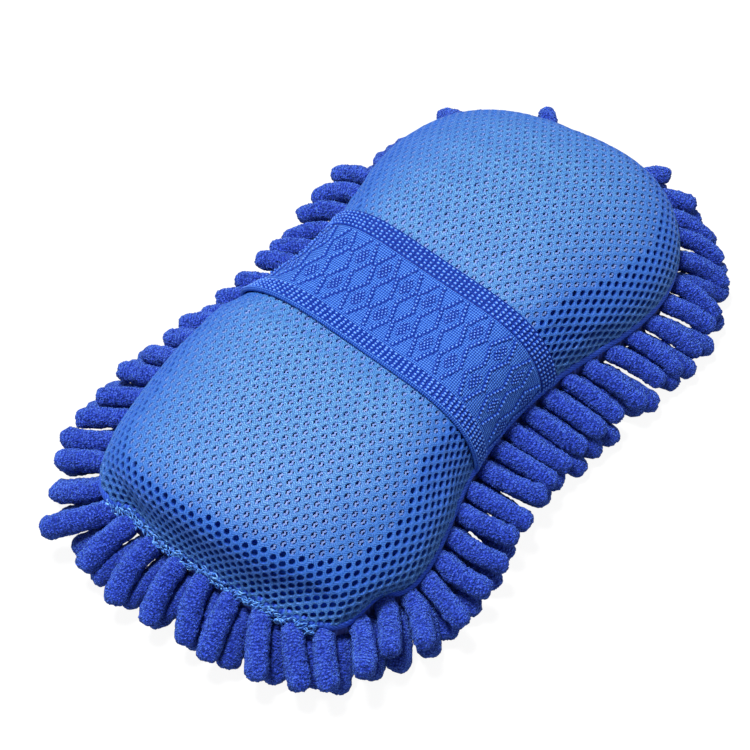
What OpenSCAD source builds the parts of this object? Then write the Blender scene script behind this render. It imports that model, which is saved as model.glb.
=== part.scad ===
// Chenille wash mitt: a waisted sponge pad in an air-mesh cover, with an elastic hand strap
// over its waist and a sole of chenille noodles tufted through a base cloth.
// Millimetres. The floor is z = 0, X runs along the pad, Y across it and Z up.

/* [Pad] */
// Length of the pad from end to end
pad_length = 236; // [200:1:280]
// Width that the two lobes would have with no waist between them
lobe_width = 141; // [124:1:160]
// Height of the crown above the floor, before the strap presses it down
crown_height = 66; // [56:1:78]
// Share of the width that the waist takes away
waist_pull = 0.245; // [0.1:0.005:0.3]
// Distance along X over which the waist fades
waist_reach = 56; // [40:1:80]
// Squareness of the outline, where 2 would be an ellipse
squareness = 3.9; // [2.6:0.1:5]
// Share of the height that the strap presses down
crown_sag = 0.2; // [0:0.01:0.3]
// Distance along X over which the pressed crown fades
sag_reach = 55; // [40:1:80]
// How far the crown stays level towards the ends
end_level = 1.6; // [1.3:0.1:2.4]
// How upright the ends stand
end_steepness = 5.2; // [3:0.1:7]
// Fullness of the crown across the lobes
lobe_fullness = 2.2; // [1.8:0.1:3]
// Fullness added under the strap
waist_fullness = 2; // [0:0.1:3]

/* [Cover] */
// Thickness of the open mesh face
mesh_thickness = 1.6; // [1:0.1:2.4]
// Thickness of the backing net behind the mesh face
backing_thickness = 1.1; // [0.6:0.1:1.8]
// Clearance between one soft layer and the next
layer_gap = 0.3; // [0.2:0.05:0.4]

/* [Base cloth] */
// Thickness of the cloth
cloth_thickness = 2; // [1.6:0.1:3]
// Height of the cloth's turned-up wall beyond one noodle's diameter
wall_margin = 0.6; // [0.2:0.1:3]
// Width of the tape that covers the seam
tape_width = 3.2; // [2:0.1:5]
// Thickness of the seam tape
tape_thickness = 1; // [0.6:0.1:1.4]
// Clearance between the tape and the cloth's wall
tape_gap = 0.2; // [0.1:0.05:0.4]

/* [Hand strap] */
// Width of the elastic webbing
strap_width = 52; // [40:1:60]
// Thickness of the elastic webbing
strap_thickness = 1.8; // [1.2:0.1:2.6]
// Clearance between the webbing and the mesh
strap_gap = 0.5; // [0.4:0.05:0.8]
// Height of the two ends that only stretch when the strap is lifted
strap_end_height = 17; // [12:0.5:20]

/* [Noodles] */
// Diameter of a noodle
noodle_diameter = 8.4; // [6.6:0.1:9]
// Length of a noodle from root to tip
noodle_length = 28; // [26:0.5:32]
// Diameter of the neck where the noodle leaves the cloth
neck_diameter = 5; // [3:0.1:5.6]
// Length over which the neck swells to the full diameter
neck_length = 8; // [6.5:0.5:10]
// Gap between neighbours in a row, at their roots
noodle_gap = 2.1; // [1.9:0.1:4]
// How far the tips of one sole row lie under the roots of the next
row_lap = 7; // [3:0.5:7.5]
// How far the sole's noodles fall from root to tip
sole_fall = 5.1; // [4.8:0.1:8]
// How far the upper row droops from root to tip
upper_droop = 5; // [3:0.5:6]
// How far a noodle leans out of line with its row, in degrees
noodle_sway = 4; // [0:0.5:6]
// How much the noodles fan out at the corners, where 2 is evenly
corner_fan = 2.4; // [2:0.1:4]

/* [Hidden] */

// The four sides, by the angle of their middle
front = 0;
left = 90;
back = 180;
right = 270;

noodle_radius = noodle_diameter/2;
neck_radius = neck_diameter/2;
noodle_pitch = noodle_diameter + noodle_gap;
row_spacing = noodle_length - row_lap;

// The sole's roots sit half in the cloth's underside, and their tips touch the floor.
root_seat = 0.5;
sole_root_height = noodle_diameter + sole_fall;
sole_depth = sole_root_height + root_seat;
cloth_wall_height = noodle_diameter + wall_margin;
cloth_top = sole_depth + cloth_thickness;
seam_height = sole_depth + cloth_wall_height;

backing_inset = mesh_thickness + layer_gap;
foam_inset = backing_inset + backing_thickness + layer_gap;

// The tape starts just over the necks of the upper row and laps the foot of the mesh.
root_depth = cloth_thickness*0.6;
lower_root_inset = cloth_thickness*0.75;
tape_drop = 0.3;
upper_root_height = seam_height - neck_radius - root_seat;
tape_bottom = seam_height - tape_drop;
tape_top = tape_bottom + tape_width;
strap_split_height = tape_top + strap_end_height;

// Facets of the soft shells: points round each ring, and rings from the seam to the crown
ring_sides = 72;
ring_count = 9;
ring_bias = 1.3;
arc_step = 3;
strap_stations = 6;
strap_end_steps = 3;
strap_crown_steps = 14;
round_sides = 24;
golden = 0.618034;

// ---- the pad's form --------------------------------------------------------------------

// Signed power, which keeps the quarter that a value lies in
function signed_pow(v, p) = sign(v)*pow(abs(v), p);

// Half the pad's width at x, for a skin set in by inset
function half_width(x, inset) =
    lobe_width/2*(1 - waist_pull*exp(-pow(x/waist_reach, 2))) - inset;

// A point of the outline at the seam, in the direction a
function outline_point(a, inset) =
    let (reach = pow(pow(abs(cos(a)), squareness) + pow(abs(sin(a)), squareness), -1/squareness),
        x = (pad_length/2 - inset)*cos(a)*reach)
    [x, half_width(x, inset)*sin(a)*reach];

function outline_points(inset) =
    [for (i = [0:ring_sides - 1]) outline_point(360*i/ring_sides, inset)];

// Height of the crown line over the seam at x
function crown_rise(x, inset) =
    (crown_height - inset - seam_height)*(1 - crown_sag*exp(-pow(x/sag_reach, 2)))
    *pow(max(0, 1 - pow(abs(x)/(pad_length/2 - inset), end_level)), 1/end_steepness);

function fullness(x) = lobe_fullness + waist_fullness*exp(-pow(x/sag_reach, 2));

// Height of the skin over a point of the plan
function skin_height(x, y, inset) =
    let (along = min(1, abs(x)/(pad_length/2 - inset)),
        reach = half_width(x, inset)*pow(1 - pow(along, squareness), 1/squareness),
        across = reach > 0 ? min(1, abs(y)/reach) : 1)
    seam_height + crown_rise(x, inset)*sqrt(1 - pow(across, fullness(x)));

// Share of the half-width at which the skin of the section at x reaches the height z
function share_at(x, z, inset) =
    pow(1 - pow((z - seam_height)/crown_rise(x, inset), 2), 1/fullness(x));

function ring_share(j) = cos(90*pow(j/ring_count, ring_bias));

// Rings of the domed skin from the seam up, then the crown's middle
function dome_points(inset) = concat(
    [for (j = [0:ring_count - 1]) for (p = outline_points(inset))
        let (x = p.x*ring_share(j), y = p.y*ring_share(j))
        [x, y, j == 0 ? seam_height : skin_height(x, y, inset)]],
    [[0, 0, skin_height(0, 0, inset)]]);

dome_size = ring_count*ring_sides + 1;

// Triangles of a dome whose points start at first, seen from outside, or from inside if turned
function dome_faces(first, turned) =
    let (n = ring_sides, top = first + ring_count*n)
    [for (f = concat(
        [for (j = [0:ring_count - 2]) for (i = [0:n - 1]) for (half = [0, 1])
            let (a = first + j*n + i, b = first + j*n + (i + 1)%n, c = a + n, d = b + n)
            half == 0 ? [a, c, d] : [a, d, b]],
        [for (i = [0:n - 1]) [top - n + i, top, top - n + (i + 1)%n]]))
        turned ? [f[2], f[1], f[0]] : f];

// A domed skin between two insets, open below, whose foot stands on the seam's level
module dome_shell(outer, inner) {
    n = ring_sides;
    foot = [for (i = [0:n - 1]) for (half = [0, 1])
        let (a = i, b = (i + 1)%n, c = dome_size + a, d = dome_size + b)
        half == 0 ? [a, b, d] : [a, d, c]];
    polyhedron(concat(dome_points(outer), dome_points(inner)),
        concat(dome_faces(0, false), dome_faces(dome_size, true), foot));
}

module outline_shape(inset) {
    polygon(outline_points(inset));
}

// ---- pad, cover and base cloth -----------------------------------------------------------

module foam_core() {
    n = ring_sides;
    sole = [for (p = outline_points(foam_inset)) [p.x, p.y, cloth_top]];
    wall = [for (i = [0:n - 1]) for (half = [0, 1])
        let (a = i, b = (i + 1)%n, c = dome_size + a, d = dome_size + b)
        half == 0 ? [a, b, d] : [a, d, c]];
    color("khaki")
        polyhedron(concat(dome_points(foam_inset), sole),
            concat(dome_faces(0, false), wall, [[for (i = [0:n - 1]) dome_size + i]]));
}

module mesh_cover() {
    color([0.38, 0.59, 0.85]) dome_shell(0, mesh_thickness);
}

module cover_backing() {
    color([0.42, 0.47, 0.62]) dome_shell(backing_inset, backing_inset + backing_thickness);
}

module base_cloth() {
    color([0.15, 0.28, 0.6])
        difference() {
            translate([0, 0, sole_depth])
                linear_extrude(cloth_wall_height) outline_shape(0);
            translate([0, 0, cloth_top])
                linear_extrude(cloth_wall_height) outline_shape(cloth_thickness);
        }
}

module seam_tape() {
    color([0.2, 0.36, 0.75])
        translate([0, 0, tape_bottom])
            linear_extrude(tape_width)
                difference() {
                    outline_shape(-tape_gap - tape_thickness);
                    outline_shape(-tape_gap);
                }
}

// ---- hand strap --------------------------------------------------------------------------

// One end of the strap's section rises from the tape to the split in equal steps.
function end_section(x, inset) =
    [for (k = [0:strap_end_steps])
        let (z = tape_top + (strap_split_height - tape_top)*k/strap_end_steps)
        [x, half_width(x, inset)*share_at(x, z, inset), z]];

// The crown's section runs over the top from the left split to the right one.
function crown_section(x, inset) =
    let (start = acos(share_at(x, strap_split_height, inset)))
    [for (k = [0:strap_crown_steps])
        let (a = start + (180 - 2*start)*k/strap_crown_steps,
            z = k == 0 || k == strap_crown_steps ? strap_split_height
                : seam_height + crown_rise(x, inset)*sqrt(1 - pow(abs(cos(a)), fullness(x))))
        [x, half_width(x, inset)*cos(a), z]];

// A band lofted through sections: each section has its points on the mesh side, then outside
module webbing(inner, outer) {
    m = len(inner[0]);
    n = len(inner);
    points = [for (i = [0:n - 1]) for (p = concat(inner[i], outer[i])) p];
    function at(i, k) = i*2*m + k;
    inside = [for (i = [0:n - 2]) for (k = [0:m - 2]) for (half = [0, 1])
        half == 0 ? [at(i, k), at(i + 1, k), at(i + 1, k + 1)]
            : [at(i, k), at(i + 1, k + 1), at(i, k + 1)]];
    outside = [for (i = [0:n - 2]) for (k = [m:2*m - 2]) for (half = [0, 1])
        half == 0 ? [at(i, k), at(i + 1, k + 1), at(i + 1, k)]
            : [at(i, k), at(i, k + 1), at(i + 1, k + 1)]];
    ends = [for (i = [0:n - 2]) for (k = [0, m - 1]) for (half = [0, 1])
        let (a = at(i, k), b = at(i + 1, k), c = at(i + 1, k + m), d = at(i, k + m),
            f = half == 0 ? [a, c, b] : [a, d, c])
        k == 0 ? f : [f[2], f[1], f[0]]];
    edges = [for (i = [0, n - 1]) for (k = [0:m - 2]) for (half = [0, 1])
        let (a = at(i, k), b = at(i, k + 1), c = at(i, k + m + 1), d = at(i, k + m),
            f = half == 0 ? [a, b, c] : [a, c, d])
        i == 0 ? f : [f[2], f[1], f[0]]];
    polyhedron(points, concat(inside, outside, ends, edges));
}

strap_xs = [for (i = [0:strap_stations]) strap_width*(i/strap_stations - 0.5)];

module hand_strap() {
    color([0.26, 0.43, 0.82])
        webbing([for (x = strap_xs) crown_section(x, -strap_gap)],
            [for (x = strap_xs) crown_section(x, -strap_gap - strap_thickness)]);
}

module strap_end() {
    color([0.22, 0.38, 0.76])
        webbing([for (x = strap_xs) end_section(x, -strap_gap)],
            [for (x = strap_xs) end_section(x, -strap_gap - strap_thickness)]);
}

module strap_end_left() {
    mirror([1, 0, 0]) strap_end();
}

module strap_end_right() {
    mirror([0, 1, 0]) strap_end();
}

// ---- chenille noodles --------------------------------------------------------------------

// Distance run round an outline against the direction reached, for lookup()
function arc_table(inset) =
    let (p = [for (a = [0:arc_step:360]) outline_point(a, inset)])
    [for (i = 0, run = 0; i < len(p);
        run = run + (i + 1 < len(p) ? norm(p[i + 1] - p[i]) : 0), i = i + 1)
        [run, i*arc_step]];

// Repeatable scatter between -0.5 and 0.5
function scatter(i, seed) = let (v = i*golden + seed*0.37) v - floor(v) - 0.5;

// Direction that a noodle points in, out from the side it stands on
function fan_heading(a) =
    atan2(signed_pow(sin(a), corner_fan - 1)/lobe_width,
        signed_pow(cos(a), corner_fan - 1)/pad_length);

// Evenly spaced roots of one closed row, as [x, y, heading, direction from the middle].
// shift is the row's stagger, in shares of the pitch.
function row_roots(inset, shift, seed) =
    let (table = arc_table(inset), run = table[len(table) - 1][0],
        count = 2*round(run/noodle_pitch/2))
    [for (i = [0:count - 1])
        let (a = lookup(run*((i + shift)/count), table), p = outline_point(a, inset))
        [p.x, p.y, fan_heading(a) + noodle_sway*scatter(i, seed), a]];

// The roots of a row that stand on one side of the pad
function on_side(roots, side) =
    [for (r = roots) if (cos(r[3] - side) > cos(45)) r];

// One noodle along +Z: a neck that swells, a straight body and a rounded tip
module noodle() {
    tip_steps = [30, 60];
    rotate_extrude($fn = round_sides)
        polygon(concat(
            [[0, 0], [neck_radius, 0], [noodle_radius, neck_length],
                [noodle_radius, noodle_length - noodle_radius]],
            [for (a = tip_steps)
                [noodle_radius*cos(a), noodle_length - noodle_radius + noodle_radius*sin(a)]],
            [[0, noodle_length]]));
}

// Noodles from these roots at one height, each falling by drop from root to tip
module noodles(roots, height, drop) {
    fall = asin(drop/(noodle_length - noodle_radius));
    color([0.2, 0.31, 0.76])
        for (r = roots)
            translate([r[0], r[1], height]) rotate([0, 90 + fall, r[2]]) noodle();
}

sole_drop = sole_root_height - noodle_radius;
upper_roots = row_roots(root_depth, 0.5, 1);
lower_roots = row_roots(lower_root_inset, 0, 2);
outer_sole_inset = lower_root_inset + row_spacing;
inner_sole_inset = outer_sole_inset + row_spacing;
outer_sole_roots = row_roots(outer_sole_inset, 0.5, 3);
inner_sole_roots = row_roots(inner_sole_inset, 0, 4);

module upper_noodles(side) {
    noodles(on_side(upper_roots, side), upper_root_height, upper_droop);
}

module lower_noodles(side) {
    noodles(on_side(lower_roots, side), sole_root_height, sole_drop);
}

module outer_sole_noodles(side) {
    noodles(on_side(outer_sole_roots, side), sole_root_height, sole_drop);
}

module inner_sole_noodles(side) {
    noodles(on_side(inner_sole_roots, side), sole_root_height, sole_drop);
}

// The line of noodles under the middle of the pad, lying away from the centre both ways,
// where the inner rows leave room for it
module centre_noodles() {
    last = pad_length/2 - inner_sole_inset - row_spacing;
    roots = [for (x = [row_spacing/2:row_spacing:last])
        if (half_width(x, inner_sole_inset) > noodle_diameter)
            for (way = [1, -1]) [way*x, 0, way > 0 ? 0 : 180]];
    noodles(roots, sole_root_height, sole_drop);
}

foam_core();
mesh_cover();
cover_backing();
base_cloth();
seam_tape();
hand_strap();
strap_end_left();
strap_end_right();
upper_noodles(front);  // upper_noodles_front
upper_noodles(left);  // upper_noodles_left
upper_noodles(back);  // upper_noodles_back
upper_noodles(right);  // upper_noodles_right
lower_noodles(front);  // lower_noodles_front
lower_noodles(left);  // lower_noodles_left
lower_noodles(back);  // lower_noodles_back
lower_noodles(right);  // lower_noodles_right
outer_sole_noodles(front);  // outer_sole_noodles_front
outer_sole_noodles(left);  // outer_sole_noodles_left
outer_sole_noodles(back);  // outer_sole_noodles_back
outer_sole_noodles(right);  // outer_sole_noodles_right
inner_sole_noodles(front);  // inner_sole_noodles_front
inner_sole_noodles(left);  // inner_sole_noodles_left
inner_sole_noodles(back);  // inner_sole_noodles_back
inner_sole_noodles(right);  // inner_sole_noodles_right
centre_noodles();
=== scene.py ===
# %% [markdown]
# # A chenille wash mitt
# The object is a waisted sponge pad for washing a car. Its top is an open blue mesh, its sole
# and sides are a crowd of soft chenille noodles, and a knitted elastic strap crosses the waist
# for the hand. We dress a imported CAD model: every piece below sits in the CAD's own frame, in
# metres, and the pad's pieces ride on the pad, one of its two bodies; the other is the strap.

# %% Load the frame
import math

import bmesh
import bpy
import numpy as np
from mathutils import Matrix, Vector
from mathutils.bvhtree import BVHTree


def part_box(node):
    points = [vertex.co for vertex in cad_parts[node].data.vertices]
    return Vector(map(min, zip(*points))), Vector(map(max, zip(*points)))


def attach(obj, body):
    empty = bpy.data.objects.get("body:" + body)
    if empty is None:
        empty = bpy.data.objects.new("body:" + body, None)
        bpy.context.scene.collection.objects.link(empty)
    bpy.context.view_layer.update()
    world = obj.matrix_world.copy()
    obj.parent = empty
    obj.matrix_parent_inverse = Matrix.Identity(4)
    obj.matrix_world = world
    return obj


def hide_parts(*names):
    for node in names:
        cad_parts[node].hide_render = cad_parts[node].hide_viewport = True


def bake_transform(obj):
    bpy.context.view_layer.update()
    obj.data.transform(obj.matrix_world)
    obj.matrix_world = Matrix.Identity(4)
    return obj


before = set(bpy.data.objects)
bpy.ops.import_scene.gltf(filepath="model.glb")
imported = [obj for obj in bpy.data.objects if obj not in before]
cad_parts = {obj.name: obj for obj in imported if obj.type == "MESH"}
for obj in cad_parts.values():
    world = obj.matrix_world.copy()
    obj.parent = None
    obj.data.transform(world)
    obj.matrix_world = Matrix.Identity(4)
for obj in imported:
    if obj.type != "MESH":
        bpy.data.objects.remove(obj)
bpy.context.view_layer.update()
mm = 0.001

# %% [markdown]
# ## The camera
# The camera comes first, since everything in view is judged through it. It stands at the
# left front of the mitt, high up, and a long lens keeps the far lobe nearly as large as the
# near one. The framing comes from where the camera aims, so no shift is needed. A scratch
# program fitted the camera's direction, distance, lens and aim to the mitt's outline in the
# photograph, together with the pad's form below, and the numbers here are its rounded ones.

# %% Camera
azimuth, elevation = math.radians(-52.05), math.radians(55.92)
distance, lens, sensor_width = 0.8266, 103.3, 36.0
aim_left, aim_low, aim_height = 9.67 * mm, 12.05 * mm, 30 * mm
frame_width = frame_height = 750
look_back = Vector((math.sin(azimuth) * math.cos(elevation),
                    -math.cos(azimuth) * math.cos(elevation), math.sin(elevation)))
look_right = Vector((math.cos(azimuth), math.sin(azimuth), 0))
look_up = look_back.cross(look_right)
aim = Vector((0, 0, aim_height)) - look_right * aim_left - look_up * aim_low
eye = aim + look_back * distance

camera_data = bpy.data.cameras.new("studio_camera")
camera_data.lens, camera_data.sensor_width, camera_data.sensor_fit = lens, sensor_width, "AUTO"
camera = bpy.data.objects.new("studio_camera", camera_data)
camera.matrix_world = Matrix((
    (look_right.x, look_up.x, look_back.x, eye.x),
    (look_right.y, look_up.y, look_back.y, eye.y),
    (look_right.z, look_up.z, look_back.z, eye.z),
    (0, 0, 0, 1)))
bpy.context.scene.collection.objects.link(camera)
bpy.context.scene.camera = camera
print("camera at", [round(v, 3) for v in eye])

# %% [markdown]
# ## Image points
# These are places in the photograph, in its pixels: the edges of the whole mitt and of its
# lobes, the corners of the strap and the two ends of the frayed hem. The hem's ends steer the
# hem: one function sends a ray through such a point and finds the surface that it meets.

# %% Image points
long_side = max(frame_width, frame_height)
image_points = {
    "mitt_left": 39, "mitt_right": 726, "mitt_top": 103, "mitt_bottom": 695,
    "strap_near_left": (241, 292), "strap_far_left": (329, 226),
    "strap_near_right": (477, 471), "strap_far_right": (554, 384),
    "far_lobe_top": (490, 112), "far_lobe_right": (682, 239),
    "near_lobe_left": (101, 486), "near_seam_low": (334, 630), "seam_notch": (368, 607),
    "hem_left": (106, 504), "hem_right": (318, 630),
}


def ray_through(x, y):
    """The ray through a pixel: its origin and its direction in the row frame."""
    local = Vector((x - frame_width / 2, frame_height / 2 - y, -long_side * lens / sensor_width))
    return eye, (camera.matrix_world.to_3x3() @ local).normalized()


def place_on(point, tree):
    """Where the ray through an image point meets the surface, or the place nearest the ray."""
    origin, direction = ray_through(*point)
    hit = tree.ray_cast(origin, direction)[0]
    if hit is None:
        steps = [tree.find_nearest(origin + direction * (distance + k * mm))
                 for k in range(-120, 121, 4)]
        hit = min(steps, key=lambda found: found[3])[0]
    return hit


def pixels_of(points):
    """The pixels at which points of the row frame show, one row of x and y for each."""
    offset = np.asarray(points, float) - np.array(eye)
    depth = -offset @ np.array(look_back)
    scale = long_side * lens / sensor_width / depth
    return np.stack([frame_width / 2 + offset @ np.array(look_right) * scale,
                     frame_height / 2 - offset @ np.array(look_up) * scale], -1)


print("strap corner ray:", [round(v, 3) for v in ray_through(*image_points["strap_near_left"])[1]])

# %% [markdown]
# ## Helpers for meshes
# Operators act on whatever is selected, and the CAD nodes arrive selected. So everything is
# deselected before a primitive is added, and a finished piece is made the only one selected
# before its modifiers are applied.

# %% Mesh helpers
def deselect_all():
    for other in list(bpy.context.selected_objects):
        other.select_set(False)


def pick(piece):
    deselect_all()
    piece.select_set(True)
    bpy.context.view_layer.objects.active = piece


def apply_modifiers(piece):
    pick(piece)
    for modifier in list(piece.modifiers):
        bpy.ops.object.modifier_apply(modifier=modifier.name)


def edit_all(piece, operator, **settings):
    """Runs a mesh operator in edit mode on the whole of a piece."""
    pick(piece)
    bpy.ops.object.mode_set(mode="EDIT")
    bpy.ops.mesh.select_all(action="SELECT")
    operator(**settings)
    bpy.ops.object.mode_set(mode="OBJECT")


def face_outwards(piece):
    edit_all(piece, bpy.ops.mesh.normals_make_consistent, inside=False)
    bpy.ops.object.shade_smooth()


def points_of(piece):
    coordinates = np.empty(len(piece.data.vertices) * 3)
    piece.data.vertices.foreach_get("co", coordinates)
    return coordinates.reshape(-1, 3)


def set_points(piece, points):
    piece.data.vertices.foreach_set("co", np.asarray(points, float).ravel())
    piece.data.update()


def make_piece(name, points, faces):
    mesh = bpy.data.meshes.new(name)
    mesh.from_pydata(np.asarray(points, float).tolist(), [], faces)
    piece = bpy.data.objects.new(name, mesh)
    bpy.context.scene.collection.objects.link(piece)
    return piece


def copied_faces(faces, copies, points_in_one):
    """The faces of many copies of a shape whose points follow each other in one piece."""
    return [[n * points_in_one + k for k in face] for n in range(copies) for face in faces]


def lay_map(piece, name, places):
    """A UV map with one place for each vertex."""
    corners = np.array([c.vertex_index for c in piece.data.loops])
    piece.data.uv_layers.new(name=name).data.foreach_set("uv", places[corners].ravel())


def float_attribute(piece, name, values):
    attribute = piece.data.attributes.new(name, "FLOAT", "POINT")
    attribute.data.foreach_set("value", np.asarray(values, np.float32).ravel())


def unit(vectors):
    return vectors / np.linalg.norm(vectors, axis=-1, keepdims=True)


def eased(share):
    """A share from 0 to 1, made to start and end softly."""
    return share * share * (3 - 2 * share)


def run_along(line):
    """The distance run at each point of a line."""
    return np.concatenate([[0], np.cumsum(np.linalg.norm(np.diff(line, axis=0), axis=1))])


def triangle_count(piece):
    piece.data.calc_loop_triangles()
    return len(piece.data.loop_triangles)


print("helpers ready")

# %% [markdown]
# ## Helpers for finishes
# Every finish is a tree of nodes. Short calls add a node, or a few that belong together, and
# return what they put out, so that each material below reads like a recipe. Colours are
# written as 0 to 255.

# %% Material helpers
def linear(red, green, blue):
    """A colour from 0 to 255, as the linear values that nodes use."""
    share = [c / 255 for c in (red, green, blue)]
    return (*[c / 12.92 if c <= 0.04045 else ((c + 0.055) / 1.055) ** 2.4 for c in share], 1)


class Finish:
    """A material, with calls that add nodes to it."""

    def __init__(self, name, roughness, sheen=0.0, tint=(255, 255, 255), specular=0.5):
        self.material = bpy.data.materials.new(name)
        self.material.use_nodes = True
        self.tree = self.material.node_tree
        self.shader = self.tree.nodes["Principled BSDF"]
        for socket, value in (("Roughness", roughness), ("Sheen Weight", sheen),
                              ("Sheen Tint", linear(*tint)), ("Sheen Roughness", 0.5),
                              ("Specular IOR Level", specular)):
            self.shader.inputs[socket].default_value = value

    def put(self, slot, value):
        """Links a slot to another node's output, or sets it."""
        if isinstance(value, bpy.types.NodeSocket):
            self.tree.links.new(value, slot)
        else:
            slot.default_value = value

    def add(self, kind, settings=None, **values):
        """A node of this kind. The value i2, say, goes to the input with that number."""
        node = self.tree.nodes.new(kind)
        for key, value in (settings or {}).items():
            setattr(node, key, value)
        for key, value in values.items():
            self.put(node.inputs[int(key[1:]) if key[1:].isdigit() else key.replace("_", " ")], value)
        return node

    def place(self):
        return self.add("ShaderNodeTexCoord").outputs["Object"]

    def attribute(self, name):
        return self.add("ShaderNodeAttribute", {"attribute_name": name}).outputs["Fac"]

    def noise(self, scale, detail, at=None, output="Fac"):
        return self.add("ShaderNodeTexNoise", Vector=at or self.place(),
                        Scale=scale, Detail=detail).outputs[output]

    def stirred(self, scale, reach):
        """Places pushed about by a noise, by up to this many metres."""
        return self.add("ShaderNodeVectorMath", {"operation": "MULTIPLY_ADD"}, i2=self.place(),
                        i0=self.noise(scale, 1.0, output="Color"), i1=(reach,) * 3).outputs[0]

    def math(self, operation, first, second=0.0, third=0.0):
        return self.add("ShaderNodeMath", {"operation": operation},
                        i0=first, i1=second, i2=third).outputs[0]

    def weighed(self, value, weight, more=0.0):
        return self.math("MULTIPLY_ADD", value, weight, more)

    def rising(self, value, low, high, top=1.0):
        """From 0 at the low value to the top share at the high one."""
        return self.add("ShaderNodeMapRange", {"clamp": True}, Value=value,
                        i1=low, i2=high, i3=0.0, i4=top).outputs[0]

    def ramp(self, factor, *stops):
        """Each stop is a position and a colour."""
        node = self.add("ShaderNodeValToRGB", Fac=factor)
        while len(node.color_ramp.elements) < len(stops):
            node.color_ramp.elements.new(0.5)
        for element, (position, *colour) in zip(node.color_ramp.elements, stops):
            element.position, element.color = position, linear(*colour)
        return node.outputs["Color"]

    def mix(self, factor, first, second):
        node = self.add("ShaderNodeMix", {"data_type": "RGBA"}, i0=factor)
        for number, colour in ((6, first), (7, second)):
            self.put(node.inputs[number], linear(*colour) if isinstance(colour, tuple) else colour)
        return node.outputs[2]

    def give(self, piece):
        piece.data.materials.clear()
        piece.data.materials.append(self.material)

    def cover(self, piece, tone, height, strength, depth):
        """Joins a colour and a bump, this many millimetres deep, and gives the finish."""
        bump = self.add("ShaderNodeBump", Strength=strength, Distance=depth * mm, Height=height)
        self.put(self.shader.inputs["Base Color"], tone)
        self.put(self.shader.inputs["Normal"], bump.outputs[0])
        self.give(piece)


print("finish helpers ready")

# %% [markdown]
# ## The studio
# A pale floor, a white surround and three soft lamps. The floor shows white to the camera
# and still takes the mitt's shadow. The surround is white to the camera and dim as a light:
# the key lamp, high over the far side, gives the form, and the other two soften its shadows.

# %% Studio
deselect_all()
bpy.ops.mesh.primitive_plane_add(size=6, location=(0, 0, 0))
floor = bpy.context.object
floor.name = "studio_floor"
look = Finish("floor_paper", 0.9)
look.shader.inputs["Base Color"].default_value = (0.6, 0.6, 0.6, 1)
rays = look.add("ShaderNodeLightPath").outputs
seen = look.math("MAXIMUM", rays["Is Camera Ray"], rays["Is Glossy Ray"])
seen = look.math("MAXIMUM", seen, rays["Is Transmission Ray"])
paper = look.add("ShaderNodeBsdfDiffuse", Color=(0.12, 0.12, 0.12, 1)).outputs[0]
glow = look.add("ShaderNodeEmission", Color=(1, 1, 1, 1), Strength=0.92).outputs[0]
shown = look.add("ShaderNodeAddShader", i0=paper, i1=glow).outputs[0]
chosen = look.add("ShaderNodeMixShader", Fac=seen, i1=look.shader.outputs[0], i2=shown).outputs[0]
look.put(look.tree.nodes["Material Output"].inputs["Surface"], chosen)
look.give(floor)

world = bpy.data.worlds.new("studio_world")
world.use_nodes = True
bpy.context.scene.world = world
surround = world.node_tree.nodes["Background"]
surround.inputs["Color"].default_value = (1, 1, 1, 1)
world_paths = world.node_tree.nodes.new("ShaderNodeLightPath")
strength = world.node_tree.nodes.new("ShaderNodeMix")
strength.inputs["A"].default_value, strength.inputs["B"].default_value = 0.24, 1.0
world.node_tree.links.new(world_paths.outputs["Is Camera Ray"], strength.inputs["Factor"])
world.node_tree.links.new(strength.outputs[0], surround.inputs["Strength"])


def soft_lamp(name, location, size, watts):
    lamp_data = bpy.data.lights.new(name, "AREA")
    lamp_data.shape, lamp_data.size, lamp_data.energy = "DISK", size, watts
    lamp = bpy.data.objects.new(name, lamp_data)
    lamp.location = location
    lamp.rotation_euler = (Vector(location) - Vector((0, 0, 0.03))).to_track_quat("Z", "Y").to_euler()
    bpy.context.scene.collection.objects.link(lamp)


soft_lamp("key_lamp", (-0.1, 0.25, 1.3), 0.35, 23.5)
soft_lamp("fill_lamp", (-0.9, 0.5, 0.9), 0.8, 1.2)
soft_lamp("side_lamp", (0.7, -0.9, 0.7), 0.8, 2.2)
bpy.context.scene.view_settings.view_transform = "Standard"
print("studio ready")

# %% [markdown]
# ## The pad's form
# The sponge is a waisted block with two full lobes. Its outline is a squared ellipse whose
# width dips at the waist, and its crown is highest on the lobes and pressed down by the
# strap. The numbers are the CAD source's own, in millimetres, so the soft pieces fill the
# space that their solids hold. They come from the same scratch fit as the camera, rounded or
# changed a little.

# %% Pad form
pad_length = (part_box("mesh_cover")[1].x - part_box("mesh_cover")[0].x) / mm
seam_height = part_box("mesh_cover")[0].z / mm
lobe_width, crown_height = 141.0, 66.0
waist_pull, waist_reach, squareness = 0.245, 56.0, 3.9
crown_sag, sag_reach, end_level, end_steepness = 0.2, 55.0, 1.6, 5.2
lobe_fullness, waist_fullness = 2.2, 2.0
print("pad length", round(pad_length, 1), "seam height", round(seam_height, 1))


def half_width(x, inset):
    return lobe_width / 2 * (1 - waist_pull * np.exp(-(x / waist_reach) ** 2)) - inset


def outline(angle, inset):
    """Points of the pad's outline at the seam, in these directions."""
    c, s = np.cos(angle), np.sin(angle)
    reach = (np.abs(c) ** squareness + np.abs(s) ** squareness) ** (-1 / squareness)
    x = (pad_length / 2 - inset) * c * reach
    return x, half_width(x, inset) * s * reach


def crown_rise(x, inset):
    level = np.clip(1 - (np.abs(x) / (pad_length / 2 - inset)) ** end_level, 0, 1)
    sag = 1 - crown_sag * np.exp(-(x / sag_reach) ** 2)
    return (crown_height - inset - seam_height) * sag * level ** (1 / end_steepness)


def fullness(x):
    return lobe_fullness + waist_fullness * np.exp(-(x / sag_reach) ** 2)


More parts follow.
